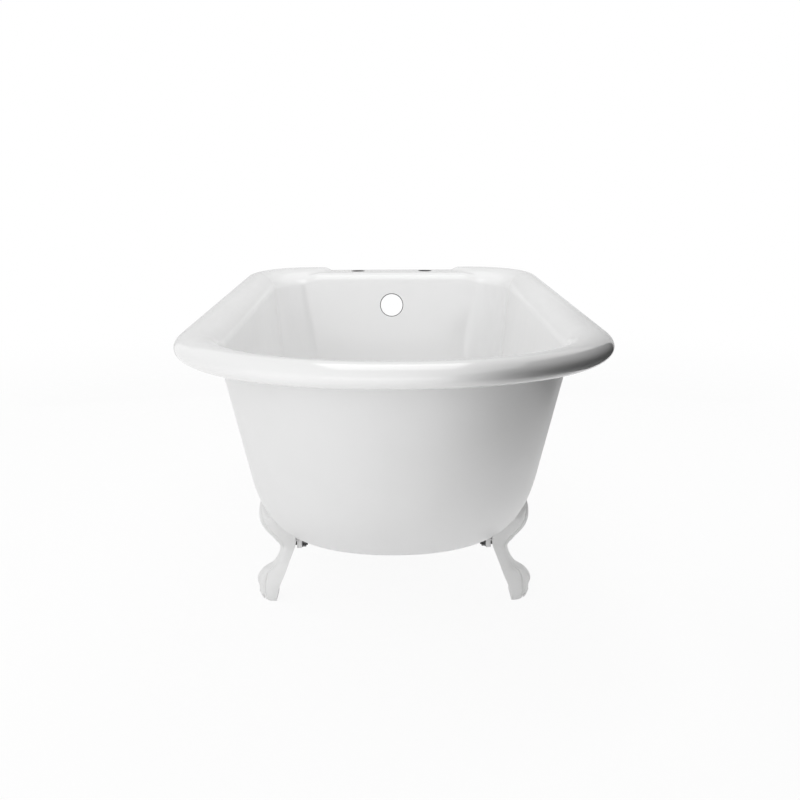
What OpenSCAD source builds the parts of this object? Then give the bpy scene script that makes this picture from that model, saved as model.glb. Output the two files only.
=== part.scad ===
// Cast iron bath on four claw feet, with a rolled rim and a flat deck for two taps at one end.
// Length runs along Y with the sloped head end at -Y, Z is up, and the floor is at Z = 0.

/* [Bath] */
// Length over the rim
bath_length = 1524; // [1372:1:1700]
// Width over the rim
bath_width = 762; // [720:1:820]
// Height of the rim's crest over the floor
rim_height = 584; // [560:1:640]
// Height of the body's lowest point over the floor, at the waste hole
belly_height = 93; // [86:1:100]
// Thickness of the cast wall
wall = 7; // [6:0.5:8]
// Fall of the bath's floor towards the waste, in mm per mm of length
floor_fall = 0.008; // [0:0.001:0.015]

/* [Rolled rim] */
// Height of the roll, from its crest down to the body
roll_height = 42; // [38:1:46]
// How far the crest lies in from the rim's outer edge
roll_outer = 34; // [28:1:38]
// How far the basin's wall lies in from the crest
roll_inner = 46; // [40:1:52]
// Extra width of the roll at the head end
head_roll_extra = 10; // [0:1:14]
// How far the rim curls under, in degrees past its outermost line
curl_angle = 55; // [40:1:65]
// Fullness of the curve round the head end: 2 is a true ellipse, and more is squarer
head_fullness = 2.15; // [2:0.05:2.3]
// How much nearer to the centre line each side is at the tap end than at the head end
end_taper = 8; // [0:1:12]
// Width of the corners at the tap end, from the rim's outer edge in to the straight end
corner_width = 164; // [156:1:176]
// Length of the rim's corner at the tap end, along the bath
rim_corner = 155; // [140:1:170]
// How far the middle of the tap end bows out
end_bow = 20; // [5:1:30]

/* [Tap deck] */
// Width of the flat deck
deck_width = 358; // [330:1:370]
// Depth of the rim at the tap end, from its outer edge to the basin's wall
deck_depth = 130; // [122:1:140]
// How far the deck lies under the crest
deck_drop = 8; // [5:1:10]
// Distance between the two tap holes
tap_spacing = 177.8; // [150:0.1:205]
// Diameter of a tap hole
tap_hole = 35; // [28:0.5:38]
// Distance of the tap holes from the rim's outer edge
tap_inset = 54; // [48:1:60]

/* [Body] */
// Distance from the rim's outer edge in to where a side's straight wall would meet the underside
side_slope = 125; // [113:1:136]
// Length of the head's slope, from the rim's outer edge to the foot of the slope
head_slope = 362; // [330:1:400]
// Length of the curve round the head at the foot of the slope
head_round = 340; // [310:1:360]
// Distance from the rim's outer edge in to the foot of the tap end's wall
tap_slope = 190; // [180:1:205]
// Length of the corner at the foot of the tap end's wall
foot_corner = 150; // [130:1:165]
// Distance from the rim's outer edge in to the side of the flat floor
floor_side = 239; // [231:1:251]
// Start of the flat floor, from the rim's outer edge at the head end
floor_start = 742; // [700:1:780]
// End of the flat floor, from the rim's outer edge at the tap end
floor_end = 290; // [280:1:300]
// Length of the flat floor's corner at the tap end
floor_corner = 130; // [110:1:140]
// Share of the wall's height that is straight before it rounds into the floor
straight_share = 0.58; // [0.5:0.01:0.64]

/* [Waste and overflow] */
// Diameter of the overflow hole
overflow_hole = 57; // [50:0.5:60]
// Depth of the overflow hole's centre under the crest
overflow_drop = 89; // [80:1:100]
// Diameter of the waste hole
waste_hole = 54; // [50:0.5:56]
// Distance of the waste hole's centre from the rim's outer edge at the tap end
waste_inset = 332; // [330:1:350]
// Width of the flat seat round the waste hole
waste_rim = 11; // [8:1:12]
// Depth of the waste hole's seat under the floor
waste_sink = 2; // [1:0.5:3]

/* [Claw feet] */
// Distance of the head feet from the rim's outer edge at the head end
head_foot_inset = 595; // [570:1:620]
// Distance of the tap feet from the rim's outer edge at the tap end
tap_foot_inset = 242; // [238:1:250]
// Distance of a foot's sole from the rim's outer edge at the side
sole_inset = 134; // [129:1:141]
// Half width of the leaf that backs onto the bath
leaf_half = 52; // [44:1:56]
// Half width of the ankle
ankle_half = 22; // [18:1:26]
// Half width of the paw
paw_half = 33; // [28:1:36]
// Depth of the creases between the toes
toe_crease = 6; // [0:0.5:7]
// Gap between a foot and the body
foot_gap = 0.4; // [0.3:0.1:0.8]

/* [Foot fastening] */
// Diameter of the stud that holds a foot
stud_d = 8; // [6:0.5:9]
// Gap between a nut and the body's underside over it
nut_gap = 0.5; // [0.3:0.1:1]
// How far the stud is screwed into the foot
stud_grip = 17; // [12:1:20]
// Thickness of the lug under the body that the stud passes through
lug_t = 10; // [8:0.5:11]
// Distance of the lug's outer face from the rim's outer edge at the side
lug_inset = 186; // [185.5:0.5:189]
// Half width of the lug
lug_half = 13; // [11:1:16]
// Thickness of the washer
washer_t = 1.5; // [1:0.25:2]
// Width of the nut across its flats
nut_flats = 13; // [11:0.5:14]
// Thickness of the nut
nut_t = 6.5; // [5:0.5:8]

/* [Levelling screws] */
// Diameter of a levelling screw
leveller_d = 10; // [8:0.5:11]
// Length of a levelling screw over its head
leveller_length = 40; // [34:1:42]
// How far a levelling screw travels out of the foot
leveller_travel = 12; // [6:1:14]
// Diameter of the glide under a levelling screw
glide_d = 15; // [14:0.5:15.5]
// Height of the glide
glide_t = 4; // [3.5:0.5:4.5]
// Thickness of the glide's sole
glide_sole = 1.5; // [1:0.25:2]

/* [Hidden] */

enamel = [0.96, 0.96, 0.95];
paint = [0.92, 0.92, 0.91];
dark_steel = [0.2, 0.2, 0.21];
nylon = [0.3, 0.3, 0.3];

// Radial clearance of a thread in its hole
thread_gap = 0.05;
// Radial clearance of the stud in the lug, and of the glide in its pocket
loose_gap = 0.6;
bore_fn = 64;

half_length = bath_length / 2;
half_width = bath_width / 2;
head_end = -half_length;
tap_end = half_length;
end_half = half_width - corner_width;
body_half = half_width - side_slope;
floor_half = half_width - floor_side;

// The rim as rings: each ring is [half width, head end, length of the head's curve, tap end,
// half length of the straight end, length of the corner, bow of the end, height, height on the deck,
// taper of the sides].
roll_top = rim_height;
roll_bottom = rim_height - roll_height;
roll_middle = rim_height - roll_height / 2;
// The crest lies nearer to the edge at the tap end, where the deck takes the width
end_crest = roll_outer * 0.7;
// Radius of the deck's inner edge
deck_edge = 25;
// The head's curve is a circle at the rim and grows longer than wide towards the basin
head_stretch = 17;
// The corner gets shorter from the rim's outer edge in to the basin's wall
corner_loss = 40;
basin_bow = end_bow / 2;
roll_width = roll_outer + roll_inner;

function mix(a, b, t) = a + (b - a) * t;

function smooth(t) =
    let (s = min(max(t, 0), 1))
    s * s * (3 - 2 * s);

// A ring of the roll, from its inset at the sides and at the tap end and its two heights
function roll_ring(side, end, z, z_deck) =
    let (share = side / roll_width)
    [
        half_width - side,
        head_end + side + head_roll_extra * share,
        half_width - side + (head_stretch - head_roll_extra) * share,
        tap_end - end,
        end_half,
        rim_corner - corner_loss * end / deck_depth,
        mix(end_bow, basin_bow, end / deck_depth),
        z,
        z_deck,
        end_taper
    ];

// The deck's height at an inset from the end: flat, then rounded down to the basin's wall
function deck_z(end, start, flat_z) =
    let (t = min(max((end - start) / deck_edge, 0), 1))
    roll_bottom + (flat_z - roll_bottom) * sqrt(1 - t * t);

deck_top = rim_height - deck_drop;
deck_under = deck_top - wall;

// The roll from its outermost line over the crest: a is the angle from the lip (negative) to the crest
function outer_roll(a, t) =
    let (
        rx = roll_outer - t,
        rz = roll_height / 2 - t,
        rd = deck_top - t - roll_middle
    )
    roll_ring(
        roll_outer - rx * cos(a),
        end_crest - (end_crest - t) * cos(a),
        roll_middle + rz * sin(a),
        roll_middle + (a < 0 ? rz : rd) * sin(a)
    );

// The roll from the crest down into the basin, or its underside where t is the wall
function inner_roll(a, t) =
    let (end = end_crest + (deck_depth - end_crest - t) * sin(a))
    roll_ring(
        roll_outer + (roll_inner - t) * sin(a),
        end,
        roll_bottom + (roll_height - t) * cos(a),
        deck_z(end, deck_depth - deck_edge - t, deck_top - t)
    );

// The body's three guide rings: where its wall starts, where wall and underside would meet, and
// where the flat floor starts. A ring between them weighs the three.
function guide_top(t) = inner_roll(90, wall - t);

function guide_foot(t) = [
    body_half - t,
    head_end + head_slope + t,
    head_round - t,
    tap_end - tap_slope - t,
    end_half * 0.6,
    foot_corner - t,
    0,
    belly_height + t,
    belly_height + t,
    end_taper / 2
];

function guide_floor(t) = [
    floor_half,
    head_end + floor_start,
    floor_half * 0.67,
    tap_end - floor_end,
    floor_half * 0.42,
    floor_corner,
    0,
    belly_height + t,
    belly_height + t,
    0
];

function wall_ring(t, share) = mix(guide_top(t), guide_foot(t), straight_share * share);

function curve_ring(t, share) =
    let (s = 1 - share)
    s * s * wall_ring(t, 1) + 2 * share * s * guide_foot(t) + share * share * guide_floor(t);

// How much the body's floor rises at y, for a point at height z before it is tilted
waste_y = tap_end - waste_inset;

function tilt(y, z) =
    floor_fall * (waste_y - y) * min(max((roll_bottom - z) / (roll_bottom - belly_height), 0), 1);

head_steps = 18;
side_steps = 6;
corner_steps = 8;
// Width of the step from the roll down to the deck, and how much wider the deck gets towards the basin
deck_blend = 22;
deck_flare = 70;
// Places across the straight end, as shares of its half length, closer at the deck's edge
deck_share = deck_width / 2 / end_half;
blend_share = deck_blend / end_half;
end_shares = [
    1, mix(1, deck_share, 0.5), deck_share, deck_share - blend_share / 3,
    deck_share - blend_share * 2 / 3, deck_share - blend_share, 0.4, 0.2, 0
];

function bowed(ring, x, y) = [x, y - ring[6] + ring[6] * (1 - pow(x / ring[0], 2))];

// Share of the deck's height at a point of a ring: 1 on the deck and 0 on the roll beside it
function on_deck(ring, p) =
    let (flare = deck_flare * min(max((tap_end - ring[3] - end_crest) / (deck_depth - end_crest), 0), 1))
    p[1] > 0 ? smooth((deck_width / 2 + flare - abs(p[0])) / (deck_blend + flare / 2)) : 0;

// Half of a ring in plan, from the middle of the head end to the middle of the tap end
function half_plan(ring) = [
    for (i = [0:head_steps - 1])
        let (a = 90 * i / head_steps)
        [
            ring[0] * pow(sin(a), 2 / head_fullness),
            ring[1] + ring[2] * (1 - pow(cos(a), 2 / head_fullness))
        ],
    for (i = [0:side_steps - 1])
        [
            ring[0] - ring[9] * i / side_steps,
            mix(ring[1] + ring[2], ring[3] - ring[6] - ring[5], i / side_steps)
        ],
    for (i = [0:corner_steps - 1])
        let (a = 90 * i / corner_steps)
        bowed(
            ring,
            ring[4] + (ring[0] - ring[9] - ring[4]) * cos(a),
            ring[3] - ring[5] + ring[5] * sin(a)
        ),
    for (share = end_shares)
        bowed(ring, ring[4] * share, ring[3])
];

function raised(ring, p) =
    let (z = mix(ring[7], ring[8], on_deck(ring, p)))
    [p[0], p[1], z + tilt(p[1], z)];

function ring_points(ring) =
    let (
        half = [for (p = half_plan(ring)) raised(ring, p)],
        last = len(half) - 1
    )
    concat(half, [for (i = [last - 1:-1:1]) [-half[i][0], half[i][1], half[i][2]]]);

curve_steps = 9;
wall_steps = 3;
roll_steps = 9;
curl_steps = 2;
edge_steps = 5;

// All rings, from the underside out, up, round the roll and down to the basin's floor
shell_rings = concat(
    [for (i = [0:curve_steps - 1]) curve_ring(0, 1 - i / curve_steps)],
    [for (i = [0:wall_steps - 1]) wall_ring(0, 1 - i / wall_steps)],
    [for (i = [0:roll_steps - 1]) inner_roll(90 * (1 - i / roll_steps), wall)],
    [for (i = [0:edge_steps - 1]) outer_roll(90 * (1 - i / edge_steps), wall)],
    [for (i = [0:curl_steps]) outer_roll(-curl_angle * i / curl_steps, wall)],
    [for (i = [0:curl_steps]) outer_roll(-curl_angle * (1 - i / curl_steps), 0)],
    [for (i = [1:edge_steps]) outer_roll(90 * i / edge_steps, 0)],
    [for (i = [1:roll_steps]) inner_roll(90 * i / roll_steps, 0)],
    [for (i = [1:wall_steps]) wall_ring(wall, i / wall_steps)],
    [for (i = [1:curve_steps]) curve_ring(wall, i / curve_steps)]
);

// A closed surface through rings of points, each triangle's diagonal mirrored left and right
function strip_faces(rings, count) = [
    for (r = [0:rings - 2], i = [0:count - 1])
        let (
            a = r * count + i,
            b = r * count + (i + 1) % count,
            c = a + count,
            d = b + count
        )
        each i < count / 2 ? [[a, c, b], [b, c, d]] : [[a, d, b], [a, c, d]]
];

module ringed_solid(rings) {
    count = len(rings[0]);
    last = (len(rings) - 1) * count;
    polyhedron(
        points = [for (ring = rings) each ring],
        faces = concat(
            [[for (i = [0:count - 1]) i]],
            strip_faces(len(rings), count),
            [[for (i = [count - 1:-1:0]) last + i]]
        ),
        convexity = 10
    );
}

// The body's outer half width at y and height z, and the outline of the ring at that height
wall_height = roll_bottom - belly_height;
curve_height = wall_height * (1 - straight_share);

function untilted(y, z) =
    let (rise = floor_fall * (waste_y - y))
    (z - rise * roll_bottom / wall_height) / (1 - rise / wall_height);

function body_ring(z) =
    z > belly_height + curve_height
        ? wall_ring(0, (roll_bottom - z) / wall_height / straight_share)
        : curve_ring(0, 1 - sqrt(max(z - belly_height, 0) / curve_height));

function plan_half(ring, y) =
    let (
        side_start = ring[1] + ring[2],
        side_end = ring[3] - ring[6] - ring[5],
        head = (side_start - y) / ring[2],
        tap = (y - side_end) / ring[5]
    )
    head > 0 ? ring[0] * pow(max(1 - pow(head, head_fullness), 0), 1 / head_fullness)
    : tap > 1 ? 0
    : tap > 0 ? ring[4] + (ring[0] - ring[9] - ring[4]) * sqrt(1 - tap * tap)
    : ring[0] - ring[9] * (y - side_start) / (side_end - side_start);

function body_x(y, z) = plan_half(body_ring(untilted(y, z)), y);

// The overflow hole stands square to the tap end's wall
end_lean = atan((guide_top(0)[3] - guide_foot(0)[3]) / wall_height);
overflow_z = rim_height - overflow_drop;
overflow_y = wall_ring(wall, (roll_bottom - overflow_z) / wall_height / straight_share)[3];

head_foot_y = head_end + head_foot_inset;
tap_foot_y = tap_end - tap_foot_inset;
foot_places = [[-1, head_foot_y], [1, head_foot_y], [-1, tap_foot_y], [1, tap_foot_y]];

lug_face = half_width - lug_inset;
lug_back = lug_face - lug_t;
nut_back = lug_back - washer_t - nut_t;
nut_half = nut_flats / 2;
// How far the stud stands out of its nut
stud_tail = 3;
stud_end = nut_back - stud_tail;

function nut_room(y, z) = max(body_x(y - nut_half, z), body_x(y + nut_half, z));

// Height of the stud at y, with its nut just under the body's underside
function stud_z(y) =
    lookup(stud_end, [for (z = [belly_height:belly_height + curve_height / 2]) [nut_room(y, z), z]])
    - nut_half - nut_gap;

// The lug follows the body's underside, this far inside its surface
lug_root = 3;

module foot_lug(y) {
    bottom = stud_z(y) - 0.8 * stud_d;
    under = [for (z = [bottom + curve_height / 2:-1:bottom]) [body_x(y, z) - lug_root, z]];
    inside = [for (p = under) if (p[0] > lug_back && p[0] < lug_face) p];
    translate([0, y + lug_half, 0])
        rotate([90, 0, 0])
            linear_extrude(2 * lug_half)
                polygon(concat(
                    [[lug_back, bottom], [lug_face, bottom], [lug_face, inside[0][1]]],
                    inside,
                    [[lug_back, inside[len(inside) - 1][1]]]
                ));
}

seat_d = waste_hole + 2 * waste_rim;
seat_z = belly_height + wall - waste_sink;
seat_bottom = seat_z - wall;

module tub_shell() {
    color(enamel)
        difference() {
            union() {
                ringed_solid([for (ring = shell_rings) ring_points(ring)]);
                for (place = foot_places)
                    mirror([place[0] < 0 ? 1 : 0, 0, 0])
                        foot_lug(place[1]);
                translate([0, waste_y, seat_bottom])
                    cylinder(h = wall, d = seat_d, $fn = bore_fn);
            }
            translate([0, waste_y, seat_z])
                cylinder(h = 3 * wall, d = seat_d, $fn = bore_fn);
            translate([0, waste_y, seat_bottom - wall])
                cylinder(h = 3 * wall, d = waste_hole, $fn = bore_fn);
            translate([0, overflow_y, overflow_z])
                rotate([-90 - end_lean, 0, 0])
                    cylinder(h = 6 * wall, d = overflow_hole, center = true, $fn = bore_fn);
            for (side = [-1, 1])
                translate([side * tap_spacing / 2, tap_end - tap_inset, deck_under - wall])
                    cylinder(h = 3 * wall, d = tap_hole, $fn = bore_fn);
            for (place = foot_places)
                translate([place[0] * (lug_face - lug_t / 2), place[1], stud_z(place[1])])
                    rotate([0, 90, 0])
                        cylinder(h = lug_t + 1, d = stud_d + 2 * loose_gap, center = true, $fn = 32);
        }
}

sole_reach = half_width - sole_inset;
// The foot's rows below are drawn for a body this high over the floor
drawn_belly = 93;
foot_scale = belly_height / drawn_belly;
// A foot's guide rows, from the sole up: [height, front, back, half width]. Front and back are
// measured from the sole's middle, away from the bath. The upper rows back onto the bath's side.
drawn_rows = [
    [0, 13.5, -10.5, paw_half * 0.79],
    [4, 16.5, -10.5, paw_half * 0.91],
    [12, 21, -11, paw_half],
    [24, 27, -13.5, paw_half * 1.03],
    [38, 29, -19, paw_half],
    [50, 27, -24.5, paw_half * 0.91],
    [62, 17.5, -29.5, ankle_half * 1.23],
    [74, -1, -34, ankle_half * 1.09],
    [90, -12, -40, ankle_half],
    [108, -17.5, -47, ankle_half * 1.09],
    [120, -12, -50.5, mix(ankle_half, leaf_half, 0.27)],
    [132, -2.5, -51, mix(ankle_half, leaf_half, 0.55)],
    [146, 8, -51, mix(ankle_half, leaf_half, 0.8)],
    [160, 16.5, -51, leaf_half * 0.96],
    [176, 20.5, -51, leaf_half],
    [190, 20, -51, leaf_half * 0.885],
    [202, 18, -51, leaf_half * 0.615],
    [209, 17, -51, leaf_half * 0.27]
];
foot_rows = [for (row = drawn_rows) [for (i = [0:3]) i < 3 ? row[i] * foot_scale : row[i]]];
rows_per_span = 2;
front_points = 24;
back_points = 12;
// Thickness of the leaf's edge
leaf_edge = 4;

function spline(p, q, r, s, t) =
    q + 0.5 * t * (r - p + t * (2 * p - 5 * q + 4 * r - s + t * (3 * (q - r) + s - p)));

function row_at(i) = foot_rows[min(max(i, 0), len(foot_rows) - 1)];

foot_levels = [
    for (i = [0:len(foot_rows) - 2], k = [0:rows_per_span - 1])
        spline(row_at(i - 1), row_at(i), row_at(i + 1), row_at(i + 2), k / rows_per_span),
    foot_rows[len(foot_rows) - 1]
];

// The body's side with a gap, widened where the side runs steeply round the tap end's corner
function beside_body(y, z) = max(body_x(y - 3 * foot_gap, z), body_x(y + 3 * foot_gap, z)) + foot_gap;

// Where the back of a foot lies: its own curve, or the body's side where that is further out
function back_x(row, y, place_y) = max(sole_reach + row[2], beside_body(place_y + y, row[0]));

// Where the creases beside the middle one lie, as a share of the paw's half width
toe_line = 0.8;

// Creases between four toes, fading out above the paw and down to the sole
function crease(y, z) =
    toe_crease * smooth(z / foot_scale / 14) * (1 - smooth((z / foot_scale - 30) / 36))
    * max(0, 1 - min(abs(y), abs(abs(y) - toe_line)) / 0.16);

function foot_section(row, place_y) =
    let (
        z = row[0],
        half = row[3],
        back = back_x(row, 0, place_y),
        front = max(sole_reach + row[1], back + leaf_edge),
        edge = min(leaf_edge, 0.4 * (front - back))
    )
    concat(
        [
            for (i = [0:front_points])
                let (
                    a = 180 * i / front_points,
                    y = -half * cos(a),
                    base = back_x(row, y, place_y) + edge
                )
                [base + (front - crease(y / half, z) - base) * pow(sin(a), 0.7), place_y + y, z]
        ],
        [
            for (i = [0:back_points])
                let (y = half * (1 - 2 * i / back_points))
                [back_x(row, y, place_y), place_y + y, z]
        ]
    );

pocket_d = glide_d + 2 * loose_gap;
pocket_t = glide_t + loose_gap;
screw_hole_top = glide_t + leveller_length + 2;

function foot_back_at_stud(y) = sole_reach + lookup(stud_z(y), [for (row = foot_rows) [row[0], row[2]]]);

module claw_foot(side, y) {
    color(paint)
        mirror([side < 0 ? 1 : 0, 0, 0])
            difference() {
                ringed_solid([for (level = foot_levels) foot_section(level, y)]);
                translate([sole_reach, y, -1])
                    cylinder(h = pocket_t + 1, d = pocket_d, $fn = bore_fn);
                translate([sole_reach, y, 0])
                    cylinder(h = screw_hole_top, d = leveller_d + 2 * thread_gap, $fn = bore_fn);
                translate([foot_back_at_stud(y) - 10, y, stud_z(y)])
                    rotate([0, 90, 0])
                        cylinder(h = 10 + stud_grip + 1, d = stud_d + 2 * thread_gap, $fn = 32);
            }
}

module head_left_foot() { claw_foot(-1, head_foot_y); }
module head_right_foot() { claw_foot(1, head_foot_y); }
module tap_left_foot() { claw_foot(-1, tap_foot_y); }
module tap_right_foot() { claw_foot(1, tap_foot_y); }

module at_stud(place, x) {
    mirror([place[0] < 0 ? 1 : 0, 0, 0])
        translate([x, place[1], stud_z(place[1])])
            rotate([0, 90, 0])
                children();
}

module foot_studs() {
    color(dark_steel)
        for (place = foot_places)
            at_stud(place, stud_end)
                cylinder(h = foot_back_at_stud(place[1]) + stud_grip - stud_end, d = stud_d, $fn = 32);
}

module foot_washers() {
    color(dark_steel)
        for (place = foot_places)
            at_stud(place, lug_back - washer_t)
                difference() {
                    cylinder(h = washer_t, d = 2 * stud_d, $fn = 48);
                    translate([0, 0, -1])
                        cylinder(h = washer_t + 2, d = stud_d + loose_gap, $fn = 32);
                }
}

module foot_nuts() {
    color(dark_steel)
        for (place = foot_places)
            at_stud(place, nut_back)
                difference() {
                    rotate([0, 0, 30])
                        cylinder(h = nut_t, d = nut_flats / cos(30), $fn = 6);
                    translate([0, 0, -1])
                        cylinder(h = nut_t + 2, d = stud_d + 2 * thread_gap, $fn = 32);
                }
}

head_d = glide_d - 3;
head_t = glide_t - glide_sole;

module levelling_screw(side, y) {
    color(dark_steel)
        translate([side * sole_reach, y, glide_sole])
            union() {
                cylinder(h = head_t, d = head_d, $fn = 6);
                cylinder(h = head_t + leveller_length, d = leveller_d, $fn = bore_fn);
            }
}

module glide(side, y) {
    color(nylon)
        translate([side * sole_reach, y, 0])
            difference() {
                cylinder(h = glide_t, d = glide_d, $fn = bore_fn);
                translate([0, 0, glide_sole])
                    cylinder(h = glide_t, d = head_d + 2 * thread_gap, $fn = 6);
            }
}

module head_left_levelling_screw() { levelling_screw(-1, head_foot_y); }
module head_right_levelling_screw() { levelling_screw(1, head_foot_y); }
module tap_left_levelling_screw() { levelling_screw(-1, tap_foot_y); }
module tap_right_levelling_screw() { levelling_screw(1, tap_foot_y); }
module head_left_glide() { glide(-1, head_foot_y); }
module head_right_glide() { glide(1, head_foot_y); }
module tap_left_glide() { glide(-1, tap_foot_y); }
module tap_right_glide() { glide(1, tap_foot_y); }

tub_shell();
head_left_foot();
head_right_foot();
tap_left_foot();
tap_right_foot();
foot_studs();
foot_washers();
foot_nuts();
head_left_levelling_screw();
head_right_levelling_screw();
tap_left_levelling_screw();
tap_right_levelling_screw();
head_left_glide();
head_right_glide();
tap_left_glide();
tap_right_glide();
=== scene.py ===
"""A cast iron bath on four claw feet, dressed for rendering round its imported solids.

Lengths are in millimetres until a mesh is made. The bath runs along Y with its sloped head end at
-Y, Z is up and the floor is at Z = 0.
"""

import logging
import math
from dataclasses import dataclass, field
from enum import Enum
from typing import Any, Callable, Iterable, NamedTuple, Sequence

import bmesh
import bpy
from mathutils import Matrix, Vector


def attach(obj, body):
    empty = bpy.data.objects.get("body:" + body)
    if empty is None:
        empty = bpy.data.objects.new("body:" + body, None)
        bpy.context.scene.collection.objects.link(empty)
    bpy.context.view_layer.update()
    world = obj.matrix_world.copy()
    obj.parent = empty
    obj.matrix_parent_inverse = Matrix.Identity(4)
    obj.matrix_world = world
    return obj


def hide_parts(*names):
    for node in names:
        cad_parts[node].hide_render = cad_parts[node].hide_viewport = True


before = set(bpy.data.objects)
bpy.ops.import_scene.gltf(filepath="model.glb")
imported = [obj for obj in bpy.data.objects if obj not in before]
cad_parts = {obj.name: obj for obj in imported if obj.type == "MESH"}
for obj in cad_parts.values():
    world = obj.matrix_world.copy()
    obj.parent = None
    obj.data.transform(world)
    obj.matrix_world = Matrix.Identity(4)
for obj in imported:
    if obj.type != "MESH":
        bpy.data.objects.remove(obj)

MM = 0.001

Point = tuple[float, float, float]
Plan = tuple[float, float]
Colour = tuple[float, float, float]
Radius = Callable[[float], float]
Place = Callable[[float, float, float], Point]
Profile = Sequence[tuple[Radius | float, float]]

GLASS_INDEX = 1.5
THREAD_PLAY = 0.05

log = logging.getLogger("bath")


class Zone(Enum):
    """The finishes of the casting, by the number of the material slot that holds each."""

    ENAMEL = 0
    OUTSIDE = 1
    HOLE = 2


class Corner(Enum):
    """The four places of a foot: its nodes' first words, its side, whether it is at the head."""

    HEAD_LEFT = ("head_left", -1, True)
    HEAD_RIGHT = ("head_right", 1, True)
    TAP_LEFT = ("tap_left", -1, False)
    TAP_RIGHT = ("tap_right", 1, False)

    @property
    def label(self) -> str:
        """The start of the names of the nodes at this corner."""
        return self.value[0]

    @property
    def side(self) -> int:
        """-1 on the left and 1 on the right."""
        return self.value[1]

    @property
    def at_head(self) -> bool:
        """Whether the corner is at the sloped head end."""
        return self.value[2]


def mix(first: float, second: float, share: float) -> float:
    """The number that lies the given share of the way from first to second."""
    return first + (second - first) * share


def smooth(share: float) -> float:
    """A soft step from 0 to 1 as share goes from 0 to 1."""
    s = min(max(share, 0.0), 1.0)
    return s * s * (3 - 2 * s)


def hump(x: float, middle: float, width: float) -> float:
    """A bell-shaped hump of height 1 round middle, falling to a third at width from it."""
    return math.exp(-(((x - middle) / width) ** 2))


def spline(p: float, q: float, r: float, s: float, t: float) -> float:
    """The share t of the way from q to r, on a smooth curve through p, q, r and s."""
    return q + 0.5 * t * (r - p + t * (2 * p - 5 * q + 4 * r - s + t * (3 * (q - r) + s - p)))


@dataclass
class Surface:
    """Points in millimetres with faces between them, and the finish of each face."""

    points: list[Point] = field(default_factory=list)
    faces: list[tuple[int, ...]] = field(default_factory=list)
    zones: list[Zone] = field(default_factory=list)

    def add_face(self, corners: Iterable[int], zone: Zone = Zone.ENAMEL) -> None:
        """Adds a face between points that are there already."""
        self.faces.append(tuple(corners))
        self.zones.append(zone)

    def add_rings(
        self,
        rings: Sequence[Sequence[Point]],
        zones: Sequence[Zone] = (Zone.ENAMEL,),
        capped: bool = True,
        joined: bool = False,
    ) -> None:
        """Adds a skin over closed rings of equally many points.

        Args:
            rings: the rings, in order
            zones: the finish of the strip that starts at each ring, or one for all strips
            capped: whether a face closes the first and the last ring
            joined: whether the last ring joins the first again
        """
        count, start = len(rings[0]), len(self.points)
        for ring in rings:
            self.points.extend(ring)
        for r in range(len(rings) if joined else len(rings) - 1):
            low, high = start + r * count, start + (r + 1) % len(rings) * count
            for i in range(count):
                j = (i + 1) % count
                self.add_face((low + i, low + j, high + j, high + i), zones[r % len(zones)])
        if capped:
            last = start + (len(rings) - 1) * count
            self.add_face(reversed(range(start, start + count)), zones[0])
            self.add_face(range(last, last + count), zones[0])

    def add_spun(
        self,
        profile: Profile,
        place: Place,
        segments: int,
        joined: bool = False,
        zone: Zone = Zone.ENAMEL,
    ) -> None:
        """Adds a turned solid.

        Args:
            profile: its radius, or a radius for each direction, at distances along the axis
            place: turns two cross distances and a distance along the axis into a point
            segments: how many points go round
            joined: whether the outline closes on itself, as a washer's does
            zone: the finish of all its faces
        """
        turns = [2 * math.pi * i / segments for i in range(segments)]
        rings = []
        for radius, along in profile:
            reach = [radius(a) if callable(radius) else radius for a in turns]
            flat = [(r * math.cos(a), r * math.sin(a)) for r, a in zip(reach, turns)]
            rings.append([place(x, y, along) for x, y in flat])
        self.add_rings(rings, [zone], capped=not joined, joined=joined)

    def to_object(
        self, name: str, finishes: "Sequence[Finishes]" = (), weld: float = 1e-4
    ) -> bpy.types.Object:
        """Makes a Blender object with outward faces.

        Args:
            name: the object's name
            finishes: the finishes that its material slots hold, in order
            weld: points nearer to each other than this, in millimetres, become one

        Returns:
            The object, linked to the scene.
        """
        mesh = bpy.data.meshes.new(name)
        mesh.from_pydata([tuple(c * MM for c in p) for p in self.points], [], self.faces)
        for finish in finishes:
            mesh.materials.append(finish.material())
        mesh.polygons.foreach_set("material_index", [zone.value for zone in self.zones])
        work = bmesh.new()
        work.from_mesh(mesh)
        bmesh.ops.remove_doubles(work, verts=work.verts, dist=weld * MM)
        bmesh.ops.dissolve_degenerate(work, edges=work.edges, dist=weld * MM / 10)
        bmesh.ops.recalc_face_normals(work, faces=work.faces)
        work.to_mesh(mesh)
        work.free()
        made = bpy.data.objects.new(name, mesh)
        bpy.context.scene.collection.objects.link(made)
        return made


def upright(x: float, y: float) -> Place:
    """Places a turned solid on a vertical axis, by its heights."""
    return lambda u, v, s: (x + u, y + v, s)


def crosswise(side: int, y: float, z: float) -> Place:
    """Places a turned solid on an axis across the bath, by its distances from the middle."""
    return lambda u, v, s: (side * s, y + u, z + v)


def mirrored(half: Profile, back: float, front: float) -> Profile:
    """A whole outline from the half of it that both its ends share."""
    return [(r, back + s) for r, s in half] + [(r, front - s) for r, s in reversed(half)]


def hexagon(flats: float, limit: float) -> Radius:
    """A hexagon's radius in each direction, from its width over flats and its largest radius."""
    step = math.pi / 3
    return lambda angle: min(flats / 2 / math.cos((angle + step / 2) % step - step / 2), limit)


def baked(target: bpy.types.Object) -> bpy.types.Object:
    """Turns an object's modifiers into plain mesh."""
    graph = bpy.context.evaluated_depsgraph_get()
    mesh = bpy.data.meshes.new_from_object(target.evaluated_get(graph))
    old = target.data
    target.modifiers.clear()
    target.data = mesh
    mesh.name = old.name
    bpy.data.meshes.remove(old)
    return target


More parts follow.
